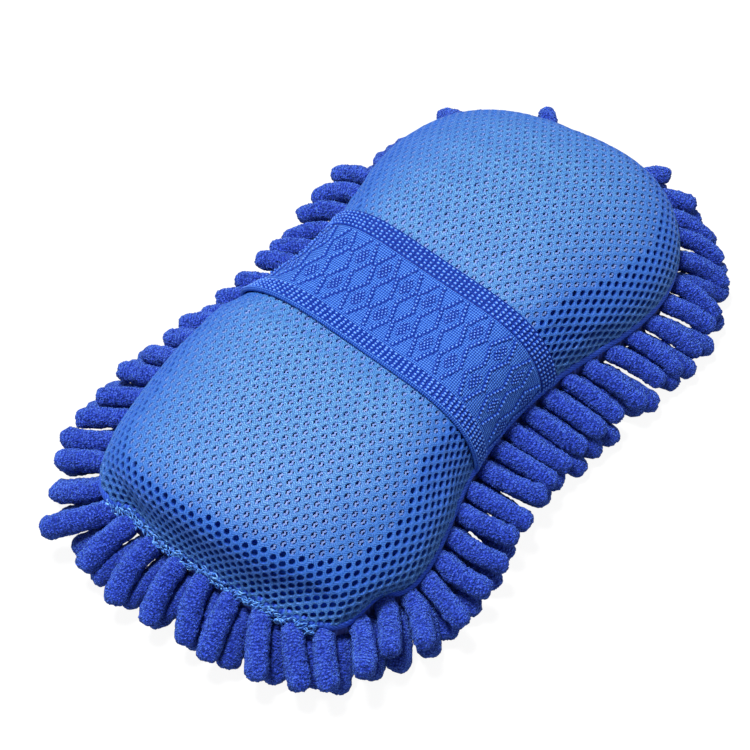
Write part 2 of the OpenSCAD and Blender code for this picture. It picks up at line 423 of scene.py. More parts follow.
def skin_height(x, y, inset):
    along = np.clip(np.abs(x) / (pad_length / 2 - inset), 0, 1)
    reach = half_width(x, inset) * (1 - along ** squareness) ** (1 / squareness)
    share = np.clip(np.abs(y) / np.maximum(reach, 1e-6), 0, 1)
    return seam_height + crown_rise(x, inset) * np.sqrt(1 - share ** fullness(x))


# %% [markdown]
# ## Soft unevenness
# A sewn pad is never as even as its pattern. A few soft pushes, each a place, a reach and a
# movement, bring the lobes to the photographed shape. Every piece on the pad goes through
# the same pushes, so the layers stay together.
#
# The wide pushes, in the first list, are mostly not chosen by hand. A scratch program fitted
# them to the mitt's outline in the photograph. They are rounded to whole millimetres, and a
# few were merged, moved or changed. The shorter ones were set one by one, several of them
# from measured distances between the render and the photograph.

# %% Uneven pushes
pushes = [(place, 30, movement) for place, movement in (
    ((115, 39, 36), (-1, -1, -1)), ((89, 62, 36), (0, -2, 0)), ((32, 58, 36), (1, -2, 1)),
    ((-32, 58, 36), (0, 4, 2)), ((-89, 62, 36), (0, -2, -1)), ((-115, 39, 36), (-3, 5, 1)),
    ((-118, 0, 36), (-1, 2, 3)), ((-115, -39, 36), (1, -3, 0)), ((-89, -62, 36), (5, -2, -2)),
    ((-32, -58, 36), (0, 2, 1)), ((32, -58, 36), (0, 2, 0)), ((89, -62, 36), (1, -3, 0)),
    ((115, -30, 36), (5, -3, 2)), ((70, 35, 58), (2, -3, 0)), ((-70, 35, 58), (1, 2, 0)),
    ((-70, -35, 58), (0, -2, 0)), ((0, 0, 57), (-1, 0, -2)))]
pushes += [((-107, -51, 23), 13, (-3, -2, 0)), ((-98, -59, 22), 9, (6, 4, 0)),
           ((-116, 47, 24), 12, (-3, 1, 0)), ((-119, 26, 25), 9, (3, 2, 0))]
# Round the near end the side slopes in and its cut edge flares out over the noodles.
pushes += [((-112, y, 35), 10, (2, -0.01 * y, 0)) for y in range(-44, 46, 14)]
pushes += [((-118, y, 20), 7, (-2, 0.01 * y, -0.5)) for y in range(-44, 46, 10)]


def unevened(points):
    """Points of the pad in millimetres, moved by the soft pushes."""
    moved = np.array(points, float)
    for place, reach, movement in pushes:
        near = np.exp(-(((points - np.array(place)) / reach) ** 2).sum(-1))
        moved += near[:, None] * np.array(movement)
    return moved


print(len(pushes), "pushes")

# %% [markdown]
# ## A dome to lay cloth on
# A sphere is the nearest primitive to the pad: its upper half is kept, and each vertex moves
# out to the form above. Ring by ring, the lower ones crowd at the seam, where the side turns
# upright. The same dome, set in by a few millimetres, also makes the hidden foam and the
# net behind the mesh.

# %% Dome from a sphere
ring_bias = 1.3


def pad_dome(name, inset, segments, rings):
    deselect_all()
    bpy.ops.mesh.primitive_uv_sphere_add(segments=segments, ring_count=rings, radius=1)
    dome = bpy.context.object
    dome.name = name
    edit_all(dome, bpy.ops.mesh.bisect, plane_co=(0, 0, -1e-4), plane_no=(0, 0, 1), clear_inner=True)
    p = points_of(dome)
    rise = np.arcsin(np.clip(p[:, 2], 0, 1)) / (math.pi / 2)
    share = np.cos(math.pi / 2 * rise ** ring_bias)
    x, y = outline(np.arctan2(p[:, 1], p[:, 0]), inset)
    x, y = x * share, y * share
    z = np.where(rise < 1e-3, seam_height, skin_height(x, y, inset))
    set_points(dome, unevened(np.stack([x, y, z], -1)) * mm)
    edit_all(dome, bpy.ops.mesh.remove_doubles, threshold=0.05 * mm)
    return dome


skin_inset, net_inset, foam_inset = 0.3, 2.0, 3.4
skin = pad_dome("skin_pattern", skin_inset, 96, 64)
print("dome faces", len(skin.data.polygons))

# %% [markdown]
# ## Stuffing the cover
# The cover is cut a little larger than the sponge, which presses it out. A short cloth
# simulation does the same: the seam and the band under the strap are held, the rest swells,
# and it puckers next to what is held. The dome starts slightly small, and no place may move
# far, so that the cover keeps its size.

# %% Swell the cover
swell_frames, most_swell, most_sink = 20, 1.0, 0.2
held_half_width, held_edge, held_band = 27, 7, 5


def stuff(cover):
    """Swells the cover and returns how far each vertex moved, in millimetres."""
    rest = points_of(cover) / mm
    outward = np.array([v.normal for v in cover.data.vertices])
    free = np.clip((rest[:, 2] - seam_height - 1) / held_band, 0, 1)
    free *= np.clip((np.abs(rest[:, 0]) - held_half_width) / held_edge, 0, 1)
    held = cover.vertex_groups.new(name="held")
    for index, share in enumerate(free):
        held.add([index], float(1 - share), "REPLACE")
    cloth = cover.modifiers.new("stuffing", "CLOTH")
    knit = cloth.settings
    knit.vertex_group_mass, knit.mass, knit.quality = "held", 0.003, 6
    knit.tension_stiffness = knit.compression_stiffness = 5
    knit.bending_stiffness, knit.shrink_min = 2.0, -0.015
    knit.use_pressure, knit.uniform_pressure_force = True, 10
    knit.effector_weights.gravity = 0
    cloth.collision_settings.use_collision = False
    cloth.point_cache.frame_end = swell_frames
    for moment in range(1, swell_frames + 1):
        bpy.context.scene.frame_set(moment)
    apply_modifiers(cover)
    moved = points_of(cover) / mm - rest
    moved *= np.minimum(1, most_swell / np.maximum(np.linalg.norm(moved, axis=1), 1e-6))[:, None]
    sunk = np.minimum((moved * outward).sum(1) + most_sink, 0)
    set_points(cover, (rest + moved - sunk[:, None] * outward) * mm)
    cover.vertex_groups.clear()
    bpy.context.scene.frame_set(1)
    return np.linalg.norm(moved, axis=1)


swollen_by = stuff(skin)
print("the cover swells by", round(float(swollen_by.mean()), 2), "mm on average")

# %% [markdown]
# ## Cutting the cloth flat
# The mesh cloth is knitted flat and then stretched over the pad, so its holes have to be
# laid out flat too. Blender's minimum-stretch unwrap finds that flat shape. It is turned and
# scaled until it matches the crown, in millimetres.

# %% Flatten the skin
edit_all(skin, bpy.ops.uv.unwrap, method="MINIMUM_STRETCH", fill_holes=False, iterations=40)
skin.data.calc_loop_triangles()
corner_vertex = np.array([c.vertex_index for c in skin.data.loops])
corner_flat = np.empty(len(corner_vertex) * 2)
skin.data.uv_layers.active.data.foreach_get("uv", corner_flat)
corner_flat = corner_flat.reshape(-1, 2)
flat = np.zeros((len(skin.data.vertices), 2))
flat[corner_vertex] = corner_flat
skin_points = points_of(skin) / mm

crown = np.linalg.norm(skin_points[:, :2], axis=1) < 25
fit, _, _, _ = np.linalg.lstsq(flat[crown] - flat[crown].mean(0),
                               skin_points[crown][:, :2] - skin_points[crown][:, :2].mean(0), rcond=None)
left_side, _, right_side = np.linalg.svd(fit)
turn = left_side @ right_side
triangles = np.array([t.vertices[:] for t in skin.data.loop_triangles])


def triangle_areas(points):
    a, b, c = (points[triangles[:, k]] for k in range(3))
    return np.linalg.norm(np.cross(b - a, c - a), axis=-1).sum() / 2


flat_solid = np.concatenate([flat, np.zeros((len(flat), 1))], -1)
scale = math.sqrt(triangle_areas(skin_points) / triangle_areas(flat_solid))
top_flat = flat[np.argmax(skin_points[:, 2] - np.linalg.norm(skin_points[:, :2], axis=1))]
flat = (flat - top_flat) @ turn * scale
print("flat cloth in mm:", np.round(np.ptp(flat, axis=0), 1), "scale", round(scale, 1))

# %% [markdown]
# ## From the flat cloth to the pad
# A tree of the flat triangles answers, for any place on the flat cloth, which triangle it is
# in. The same shares of that triangle's corners then give its place on the pad and the
# direction that faces outwards.

# %% Lay flat points on the pad
flat_tree = BVHTree.FromPolygons([(x, y, 0) for x, y in flat], triangles.tolist())
skin_normals = np.array([v.normal for v in skin.data.vertices])


def turn_area(first, second):
    return first[:, 0] * second[:, 1] - first[:, 1] * second[:, 0]


def lay_on_pad(places):
    """Points on the pad, their outward directions and how far off the cloth each place is."""
    index, off = np.empty(len(places), int), np.empty(len(places))
    inside = np.empty((len(places), 2))
    for k, (x, y) in enumerate(places):
        found, _, index[k], off[k] = flat_tree.find_nearest((x, y, 0))
        inside[k] = found[:2]
    a, b, c = (flat[triangles[index, k]] for k in range(3))
    whole = turn_area(b - a, c - a)
    second, third = turn_area(inside - a, c - a) / whole, turn_area(b - a, inside - a) / whole
    shares = np.stack([1 - second - third, second, third], -1)
    points = (skin_points[triangles[index]] * shares[:, :, None]).sum(1)
    normals = (skin_normals[triangles[index]] * shares[:, :, None]).sum(1)
    return points, unit(normals), off


print("crown is at", np.round(lay_on_pad([(0, 0)])[0], 1))

# %% [markdown]
# ## The mesh face
# The cover is an air mesh: long holes in staggered rows in a knitted face. A picture of holes
# would look flat from the side, so every hole is modelled. One cell, a hexagon with a hole, is
# drawn once as four rings of twelve points: the line it shares with its neighbours, the crest
# of its rim, the hole's edge and the foot of its wall.

# %% One cell of the mesh
hole_pitch, row_pitch, lattice_turn = 4.0, 3.0, math.radians(-2.5)
hole_long, hole_wide = 1.28, 0.92
corner_out = (row_pitch ** 2 + (hole_pitch / 2) ** 2) / (2 * row_pitch)
corner_in = row_pitch - corner_out
hexagon = np.array([(corner_out, 0), (corner_in, hole_pitch / 2), (-corner_in, hole_pitch / 2),
                    (-corner_out, 0), (-corner_in, -hole_pitch / 2), (corner_in, -hole_pitch / 2)])
ring_points = 2 * len(hexagon)
groove = np.empty((ring_points, 2))
groove[0::2] = hexagon
groove[1::2] = (hexagon + np.roll(hexagon, -1, axis=0)) / 2
clock = np.arctan2(groove[:, 1] / hole_wide, groove[:, 0] / hole_long)
edge = np.stack([hole_long * np.cos(clock), hole_wide * np.sin(clock)], -1)
# The relief of each ring also weighs, in the finish, the painted shade inside the hole and the painted
# highlight on its rim.
ring_height, ring_relief = [-0.12, 0.14, -0.18, -1.5], [0.75, 1.0, 0.5, 0.0]


def ring_faces(rings, around):
    """Faces between rings of points, each ring closed on itself."""
    return [[r * around + k, r * around + (k + 1) % around,
             (r + 1) * around + (k + 1) % around, (r + 1) * around + k]
            for r in range(rings - 1) for k in range(around)]


cell_faces = ring_faces(len(ring_height), ring_points)
cell_points = len(ring_height) * ring_points
print("one cell:", cell_points, "points,", len(cell_faces), "faces")

# %% [markdown]
# The cell is copied to every place of the lattice that lies on the flat cloth, and laid on the
# pad. Down the walls the cloth is stretched more, so the holes open wider there. At the seam
# the last cells are squeezed against the edge, and the tape and the hem cover them.

# %% Knit the mesh face
cloth_margin, wall_start, wall_turn, wall_opening = 0.8, 0.85, 0.5, 0.3
across_rows, along_rows = ((np.abs(flat).max(0) + 6) / (row_pitch, hole_pitch)).astype(int) + 3
lattice = np.array([(i * row_pitch, (j + (i % 2) / 2) * hole_pitch)
                    for i in range(-across_rows, across_rows + 1)
                    for j in range(-along_rows, along_rows + 1)])
cosine, sine = math.cos(lattice_turn), math.sin(lattice_turn)
on_cloth = np.array([(cosine, sine), (-sine, cosine)])
_, hole_faces, off_cloth = lay_on_pad(lattice @ on_cloth)
on_it = off_cloth < cloth_margin
lattice, hole_faces = lattice[on_it], hole_faces[on_it]
on_wall = np.clip((wall_start - hole_faces[:, 2]) / wall_turn, 0, 1)
opened = 1 + wall_opening * eased(on_wall)
edges = edge[None] * opened[:, None, None]
edges[..., 1] *= (0.9 + 0.1 * opened)[:, None]
grooves = np.broadcast_to(groove, edges.shape)
cells = np.concatenate([grooves, grooves * 0.4 + edges * 0.6, edges, edges * 1.03], 1)
knit_places = (lattice[:, None] + cells).reshape(-1, 2)
heights, relief = (np.tile(np.repeat(of_rings, ring_points), len(lattice))
                   for of_rings in (ring_height, ring_relief))
on_pad, outwards, _ = lay_on_pad(knit_places @ on_cloth)
mesh_face = make_piece("mesh_face", (on_pad + outwards * heights[:, None]) * mm,
                       copied_faces(cell_faces, len(lattice), cell_points))
float_attribute(mesh_face, "relief", relief)
# The slope attribute weighs a painted shade: darker down the walls, held lighter near the seam.
wall_shade_share = np.clip((on_pad[:, 2] - 18) / 24, 0.2, 0.85)
float_attribute(mesh_face, "slope", np.clip((1.0 - outwards[:, 2]) / 0.3, 0, 1) ** 0.65 * wall_shade_share)
lay_map(mesh_face, "knit", knit_places)
edit_all(mesh_face, bpy.ops.mesh.remove_doubles, threshold=0.02 * mm)
bpy.ops.object.shade_smooth()
print("mesh face:", len(lattice), "holes,", triangle_count(mesh_face), "triangles")

# %% [markdown]
# ## Threads across the holes
# On the crown, a pale kinked thread of the back face lies along each hole, with a dark gap on
# either side. One is a ribbon of four faces that zigzags, copied to every hole up there.

# %% Threads in the holes
crown_holes = lattice[on_wall < 0.15]
thread_swing, thread_half_width, thread_depth = 0.26, 0.38, 0.4
zigzag = np.array([(0.75 * k, thread_swing * (-1) ** k) for k in range(-2, 3)])
ribbon = np.concatenate([zigzag + (0, side * thread_half_width) for side in (-1, 1)])
kink = np.random.default_rng(5)
ribbons = np.repeat(ribbon[None], len(crown_holes), 0)
ribbons[..., 1] *= kink.choice([-1, 1], len(crown_holes))[:, None]
ribbons[..., 1] += kink.normal(0, 0.08, len(crown_holes))[:, None]
ribbons += crown_holes[:, None]
on_pad, outwards, _ = lay_on_pad(ribbons.reshape(-1, 2) @ on_cloth)
ribbon_faces = [[k, k + 1, k + 6, k + 5] for k in range(4)]
hole_threads = make_piece("hole_threads", (on_pad - outwards * thread_depth) * mm,
                          copied_faces(ribbon_faces, len(crown_holes), len(ribbon)))
face_outwards(hole_threads)
if sum(f.normal.z for f in hole_threads.data.polygons) < 0:
    hole_threads.data.flip_normals()
print("threads across", len(crown_holes), "holes")

# %% [markdown]
# ## The finish of the mesh
# Polyester thread has a soft shine. Between the holes run short slanting stitches, light on
# dark, that meet in a V on each column of holes. They follow the flat cloth, whose places in
# millimetres are the mesh's UV map. Down the sloping walls the cloth has a painted shade, and
# the holes have a painted shade inside and a painted highlight on their rims.

# %% Mesh finish
look = Finish("mesh_thread", 0.5, sheen=0.04, tint=(200, 220, 255), specular=0.3)
relief, slope = look.attribute("relief"), look.attribute("slope")
knit_at = look.add("ShaderNodeUVMap", {"uv_map": "knit"}).outputs["UV"]
knit_axes = look.add("ShaderNodeSeparateXYZ", Vector=knit_at).outputs
stray, fleck, patch = look.noise(900, 1.0), look.noise(2100, 1.0), look.noise(55, 2.0)
in_column = look.math("FRACT", look.math("DIVIDE", knit_axes["Y"], hole_pitch / 2))
column = look.math("ABSOLUTE", look.math("SUBTRACT", in_column, 0.5))
stitch_phase = look.weighed(knit_axes["X"], 1 / 0.95, look.weighed(column, 1.9, stray))
dash = look.weighed(look.math("SINE", look.weighed(stitch_phase, 2 * math.pi)), 0.5, 0.5)
lit = look.weighed(dash, 0.55, look.weighed(fleck, 0.7))
# The stitch pattern's colours. The palest stop is partly a painted highlight on the stitches.
tone = look.ramp(lit, (0.38, 40, 90, 158), (0.52, 57, 112, 176), (0.7, 75, 136, 190),
                 (0.86, 99, 157, 200), (1.0, 138, 186, 216))
tone = look.mix(look.weighed(patch, 0.25), tone, (50, 106, 192))
# Painted shade on the sloping walls.
tone = look.mix(look.weighed(slope, 0.95), tone, (20, 82, 188))
# A painted highlight on the rims of the holes down the walls.
rim = look.weighed(look.rising(relief, 0.82, 1.0, 0.5), slope)
tone = look.mix(rim, tone, (84, 146, 228))
# Painted shade inside the holes, darker down the walls than on the crown.
deep = look.mix(slope, (74, 122, 200), (6, 42, 140))
tone = look.mix(look.rising(relief, 0.1, 0.7), deep, tone)
look.cover(mesh_face, tone, lit, 0.6, 0.3)
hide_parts("mesh_cover")
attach(mesh_face, "pad")
print("mesh finish given")

# %% [markdown]
# ## Behind the mesh
# Air mesh has two faces joined by loose pile. Through each hole shows the back face, a dark
# net, and behind that the foam. The back face is the same dome set in, with the net in its
# finish, and the foam block fills it.

# %% Back face and foam
back_net = pad_dome("back_net", net_inset, 96, 64)
bpy.ops.object.shade_smooth()
solid = back_net.modifiers.new("net thickness", "SOLIDIFY")
solid.thickness, solid.offset = 0.9 * mm, -1
apply_modifiers(back_net)
# The slope attribute weighs the net's painted shade down the walls.
net_up = np.array([v.normal.z for v in back_net.data.vertices])
float_attribute(back_net, "slope", np.clip((1.0 - net_up) / 0.25, 0, 1))
look = Finish("back_net_thread", 0.8, specular=0.1)
gap = look.add("ShaderNodeTexVoronoi", {"feature": "DISTANCE_TO_EDGE"},
               Vector=look.stirred(320, 0.0012), Scale=900, Randomness=0.65).outputs["Distance"]
tone = look.ramp(gap, (0.0, 12, 74, 210), (0.15, 24, 90, 226), (0.35, 44, 100, 226), (0.7, 70, 114, 216))
# Seen through the holes, the net is painted lighter on the crown and darker down the walls: painted light and
# shade.
tone = look.mix(look.attribute("slope"), look.mix(0.65, tone, (104, 134, 194)), tone)
look.cover(back_net, tone, gap, 0.8, 0.4)
look = Finish("pale_thread", 0.6, sheen=0.1)
twist = look.noise(1300, 2.0)
tone = look.ramp(twist, (0.3, 76, 108, 180), (0.5, 94, 126, 192), (0.7, 128, 146, 200))
look.cover(hole_threads, tone, twist, 0.5, 0.15)
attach(hole_threads, "pad")
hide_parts("cover_backing")
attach(back_net, "pad")
print("back net:", triangle_count(back_net), "triangles")

# %% [markdown]
# The foam is hidden by the net. It still has its own piece, an open-celled block, since the
# pad is built of layers. Its flat underside closes the dome.

# %% Foam block
foam_block = pad_dome("foam_block", foam_inset, 72, 40)
foam_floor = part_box("foam_core")[0].z
bpy.ops.object.mode_set(mode="EDIT")
bpy.ops.mesh.select_all(action="DESELECT")
bpy.ops.mesh.select_non_manifold()
bpy.ops.mesh.extrude_region_move(TRANSFORM_OT_translate={"value": (0, 0, foam_floor - seam_height * mm)})
bpy.ops.mesh.edge_face_add()
bpy.ops.mesh.select_all(action="SELECT")
bpy.ops.mesh.normals_make_consistent(inside=False)
bpy.ops.object.mode_set(mode="OBJECT")
bpy.ops.object.shade_smooth_by_angle(angle=math.radians(40))
look = Finish("open_foam", 0.95)
bubbles = look.add("ShaderNodeTexVoronoi", Vector=look.place(), Scale=700).outputs["Distance"]
tone = look.ramp(bubbles, (0.0, 120, 104, 70), (0.5, 206, 188, 140), (1.0, 226, 212, 170))
look.cover(foam_block, tone, bubbles, 0.7, 0.6)
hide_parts("foam_core")
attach(foam_block, "pad")
bpy.data.objects.remove(skin)
print("foam block:", triangle_count(foam_block), "triangles")

# %% [markdown]
# ## The hand strap
# The strap is a wide knitted elastic, 52 mm across, drawn tight over the waist and sewn into
# the seam on both sides. It is a grid of faces laid over the pad's section.

# %% The strap's path
strap_width, strap_gap = 52.0, 0.5
tape_low, tape_high = (v.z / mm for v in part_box("seam_tape"))


def strap_line(x, outset, steps=400):
    """Points over the pad at this x from the left seam to the right one, with their distance run."""
    angle = np.linspace(0, math.pi, steps)
    y = half_width(x, -outset) * np.cos(angle)
    z = seam_height + crown_rise(x, -outset) * np.sqrt(1 - np.abs(np.cos(angle)) ** fullness(x))
    line = np.stack([np.full(steps, x), y, z], -1)
    return line, run_along(line)


strap_length = float(np.mean([strap_line(x, 1.5)[1][-1] for x in (-20, 0, 20)]))
print("strap length over the pad, mm:", round(strap_length, 1))

# %% [markdown]
# The way over the pad is worked out once, as a grid of places. The strap does not lie quite
# square on the real pad: past the crown it has slipped a little towards the near lobe, and
# its left end narrows.

# %% Lay the strap over the pad
way_columns, way_steps = 125, 401
way_x, way_v = np.linspace(-31, 31, way_columns), np.linspace(0, 1, way_steps)
way = np.empty((way_columns, way_steps, 3))
for k, x in enumerate(way_x):
    line, run = strap_line(x, strap_gap)
    way[k] = np.stack([np.interp(way_v * run[-1], run, line[:, c]) for c in range(3)], -1)


def on_way(x, v):
    a = np.clip((x - way_x[0]) / (way_x[1] - way_x[0]), 0, way_columns - 1.001)
    b = np.clip(v * (way_steps - 1), 0, way_steps - 1.001)
    i, j = a.astype(int), b.astype(int)
    a, b = (a - i)[:, None], (b - j)[:, None]
    return (way[i, j] * (1 - a) * (1 - b) + way[i + 1, j] * a * (1 - b)
            + way[i, j + 1] * (1 - a) * b + way[i + 1, j + 1] * a * b)


to_the_near, slip, slip_at, slip_reach = 0.4, 1.6, 108, 26
narrowing, narrow_reach = 2, 18
press_reach, pressed_share, pressed_in = 7, 0.35, 0.45


def over_pad(u, v, rise):
    """Places on the strap: u across it, v along it from 0 to 1, rise over its inner face."""
    slipped = u - to_the_near - slip * np.exp(-((v * strap_length - slip_at) / slip_reach) ** 2)
    slipped += narrowing * np.exp(-(v * strap_length / narrow_reach) ** 2) * (1 - u / 26)
    points = on_way(slipped, v)
    ahead, behind = (on_way(slipped, np.clip(v + step, 0, 1)) for step in (0.006, -0.006))
    along = unit(ahead - behind)
    out = np.stack([np.zeros(len(u)), -along[:, 2], along[:, 1]], -1)
    out *= np.sign((out * (points - np.array([0, 0, seam_height]))).sum(1))[:, None]
    free = eased(np.clip((points[:, 2] - seam_height) / press_reach, 0, 1))
    lift = rise * (pressed_share + (1 - pressed_share) * free) - (1 - free) * pressed_in
    return unevened(points + out * lift[:, None])


print("strap crown at", np.round(over_pad(np.zeros(1), np.full(1, 0.5), np.zeros(1)), 1))

# %% [markdown]
# The band itself. Its outer face is finely divided, its inner face and edges are plain. The
# two bands of beads sit a little lower than the middle, and the near edge is rolled and smooth.

# %% Strap ground
edge_at = np.array([24.4, 24.7, 25.1, 25.5, 25.85, 26.0])
across = np.concatenate([-edge_at[::-1], np.linspace(-24.0, 24.0, 49), edge_at])
rise_at = [*-edge_at[::-1], -24.0, -18.0, -17.6, -17.0, 17.0, 17.6, 18.0, 25.1, 25.85, 26.0]
edge_rise = np.interp(across, rise_at, [0.9, 1.4, 1.7, 1.75, 1.5, 1.1, 0.95, 0.95, 1.25, 1.3,
                                        1.3, 1.25, 0.95, 1.1, 1.1, 0.7])
lengthwise = np.linspace(0, 1, 190)
grid_u, grid_v = np.meshgrid(across, lengthwise, indexing="ij")
outer = over_pad(grid_u.ravel(), grid_v.ravel(), np.repeat(edge_rise, len(lengthwise)))
inner = over_pad(grid_u.ravel(), grid_v.ravel(), np.zeros(grid_u.size))
n_across, n_along = grid_u.shape
count = n_across * n_along


def grid_faces(first, turned):
    quads = [[first + i * n_along + j, first + (i + 1) * n_along + j,
              first + (i + 1) * n_along + j + 1, first + i * n_along + j + 1]
             for i in range(n_across - 1) for j in range(n_along - 1)]
    return [q[::-1] for q in quads] if turned else quads


rim = ([i * n_along for i in range(n_across)]
       + [(n_across - 1) * n_along + j for j in range(1, n_along)]
       + [i * n_along + n_along - 1 for i in range(n_across - 2, -1, -1)]
       + [j for j in range(n_along - 2, 0, -1)])
wall = [[here, there, count + there, count + here] for here, there in zip(rim, rim[1:] + rim[:1])]
strap_ground = make_piece("strap_webbing", np.concatenate([outer, inner]) * mm,
                          grid_faces(0, False) + grid_faces(count, True) + wall)
lay_map(strap_ground, "webbing",
        np.stack([np.tile(grid_u.ravel(), 2), np.tile(grid_v.ravel(), 2) * strap_length], -1))
face_outwards(strap_ground)
print("strap ground:", triangle_count(strap_ground), "triangles")

# %% [markdown]
# ## Beads on the strap
# The raised stitches look like small beads, each ringed by a painted shadow. One is the upper
# half of a small sphere, with a flat skirt that spreads over the ground and is painted dark as
# the bead's shadow. Along each edge run five rows of them, in columns. In the middle, pairs of
# zigzag lines part and close again, so that two diamonds stand in each pair, and smaller beads fill those.

# %% One bead
deselect_all()
bpy.ops.mesh.primitive_uv_sphere_add(segments=8, ring_count=6, radius=1)
bead = bpy.context.object
bpy.ops.object.mode_set(mode="EDIT")
bpy.ops.mesh.select_all(action="SELECT")
bpy.ops.mesh.bisect(plane_co=(0, 0, 0.1), plane_no=(0, 0, 1), clear_inner=True)
bpy.ops.mesh.select_all(action="DESELECT")
# The rim is pushed down and out into a flat skirt, which the finish paints dark as the bead's shadow.
bpy.ops.mesh.select_non_manifold()
bpy.ops.mesh.extrude_region_move(TRANSFORM_OT_translate={"value": (0, 0, -0.08)})
bpy.ops.transform.resize(value=(1.7, 1.7, 1))
bpy.ops.object.mode_set(mode="OBJECT")
bead_points = points_of(bead)
bead_faces = [list(f.vertices) for f in bead.data.polygons]
bpy.data.objects.remove(bead)
print("a bead has", len(bead_faces), "faces")

# %% Rows, zigzags and diamonds
# Each bead is its place across and along, half width, half length, height and ground.
edge_bead, line_bead = (0.62, 0.86, 0.9, 0.99), (0.64, 0.62, 0.85, 1.34)
small_bead = (0.47, 0.47, 0.55, 1.34)
bead_pitch, first_row, stagger, small_gap, small_pitch = 2.2, 18.75, 0.07, 1.12, 1.5
beads = []
for side, row_gap in ((-1, 1.34), (1, 1.5)):
    for row in range(5):
        for k in range(int(strap_length / bead_pitch)):
            beads.append((side * (first_row + row * row_gap),
                          (k + 0.5 + stagger * (row % 2)) * bead_pitch, *edge_bead))
turns_at = (-15.9, -7.4, 0.7, 8.5, 16.0)
spread = (1.65, 4.75, 1.65, 4.75, 1.65)
for k in range(-7, 6):
    middle = 86 + 11.1 * k + (0.24 if k > 0 else -0.04) * k * k
    for side in (-1, 1):
        for low, high, a, b in zip(turns_at, turns_at[1:], spread, spread[1:]):
            for share in (0, 1 / 5, 2 / 5, 3 / 5, 4 / 5):
                beads.append((low + (high - low) * share,
                              middle + side * (a + (b - a) * share), *line_bead))
        beads.append((turns_at[-1], middle + side * spread[-1], *line_bead))
    for row in (turns_at[1], turns_at[3]):
        for step, number in enumerate((1, 2, 3, 2, 3, 2, 1)):
            for n in range(number):
                beads.append((row + (step - 3) * small_gap,
                              middle + (n - (number - 1) / 2) * small_pitch, *small_bead))
beads = np.array([b for b in beads if 1.2 < b[1] < strap_length - 1.2])
print(len(beads), "beads")

# %% Sew the beads on
jitter = np.random.default_rng(11)
beads[:, :2] += jitter.normal(0, 0.08, (len(beads), 2))
beads[:, 2:5] *= jitter.uniform(0.85, 1.12, (len(beads), 1))
foot = over_pad(beads[:, 0], beads[:, 1] / strap_length, beads[:, 5])
tip = over_pad(beads[:, 0], beads[:, 1] / strap_length, beads[:, 5] + 1)
ahead = over_pad(beads[:, 0], (beads[:, 1] + 0.5) / strap_length, beads[:, 5])
normal, forward = unit(tip - foot), unit(ahead - foot)
cloud = foot[:, None]
for axis, direction in enumerate((np.cross(forward, normal), forward, normal)):
    cloud = cloud + bead_points[None, :, axis, None] * direction[:, None] * beads[:, 2 + axis, None, None]
bead_work = make_piece("strap_beads", cloud.reshape(-1, 3) * mm,
                       copied_faces(bead_faces, len(beads), len(bead_points)))
float_attribute(bead_work, "relief", np.tile(np.clip(bead_points[:, 2], 0, 1), len(beads)))
face_outwards(bead_work)
print("beads:", triangle_count(bead_work), "triangles")

# %% [markdown]
# ## The finish of the strap
# The ground is a fine grid of threads, with a darker line here and there along the webbing,
# and it is deep blue between the beads of the edges. The beads take the same yarn, with a
# painted shadow at the foot and a painted highlight on top.

# %% Strap finish
look = Finish("strap_yarn", 0.6, specular=0.06)
web_at = look.add("ShaderNodeUVMap", {"uv_map": "webbing"}).outputs["UV"]
web_across = look.add("ShaderNodeSeparateXYZ", Vector=web_at).outputs["X"]
rib, knit = (look.add("ShaderNodeTexWave", {"bands_direction": way}, Vector=web_at, Scale=0.33,
                      Distortion=bend, Detail=1.0, Detail_Scale=fine).outputs["Fac"]
             for way, bend, fine in (("X", 0.3, 0.8), ("Y", 0.4, 1.0)))
drawn_at = look.add("ShaderNodeMapping", Vector=web_at, Scale=(1.5, 0.035, 1)).outputs[0]
drawn_line = look.noise(1.0, 2.0, at=drawn_at)
threads = look.weighed(drawn_line, 0.35, look.weighed(rib, 0.44, look.weighed(knit, 0.36)))
tone = look.ramp(threads, (0.25, 10, 38, 132), (0.45, 30, 72, 178), (0.65, 54, 104, 202),
                 (0.92, 98, 150, 230))
tone = look.mix(look.weighed(look.noise(1400, 2.0), 0.15), tone, (96, 146, 236))
in_band = look.weighed(look.math("GREATER_THAN", look.math("ABSOLUTE", web_across), 17.7),
                       look.math("GREATER_THAN", web_across, -24.5))
tone = look.mix(look.weighed(in_band, 0.85), tone, (10, 34, 134))
look.cover(strap_ground, tone, look.weighed(knit, 0.7, rib), 0.8, 0.35)

look = Finish("strap_bead_yarn", 0.45, specular=0.1)
lint = look.noise(1600, 1.0)
# Along the bead's height: the dark foot and skirt are a painted shadow, the pale top a painted highlight.
tone = look.ramp(look.attribute("relief"), (0.06, 6, 30, 122), (0.3, 14, 48, 152), (0.6, 46, 94, 194),
                 (0.86, 92, 142, 228), (1.0, 150, 188, 248))
tone = look.mix(look.weighed(lint, 0.25), tone, (48, 98, 212))
look.cover(bead_work, tone, lint, 0.3, 0.12)
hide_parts("hand_strap", "strap_end_left", "strap_end_right")
for piece in (strap_ground, bead_work):
    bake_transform(piece)
print("strap dressed")

# %% [markdown]
# ## The seam tape
# Where the mesh meets the noodle cloth, a narrow tape with slanting ribs covers the seam. It
# starts as a circle whose points move to the outline, and each rib is a low ridge. Round the
# near end it is tucked in behind the frayed hem.

# %% Seam tape
rounds, levels, rib_count, rib_slant, rib_height = 1960, 9, 420, 2.8, 0.208


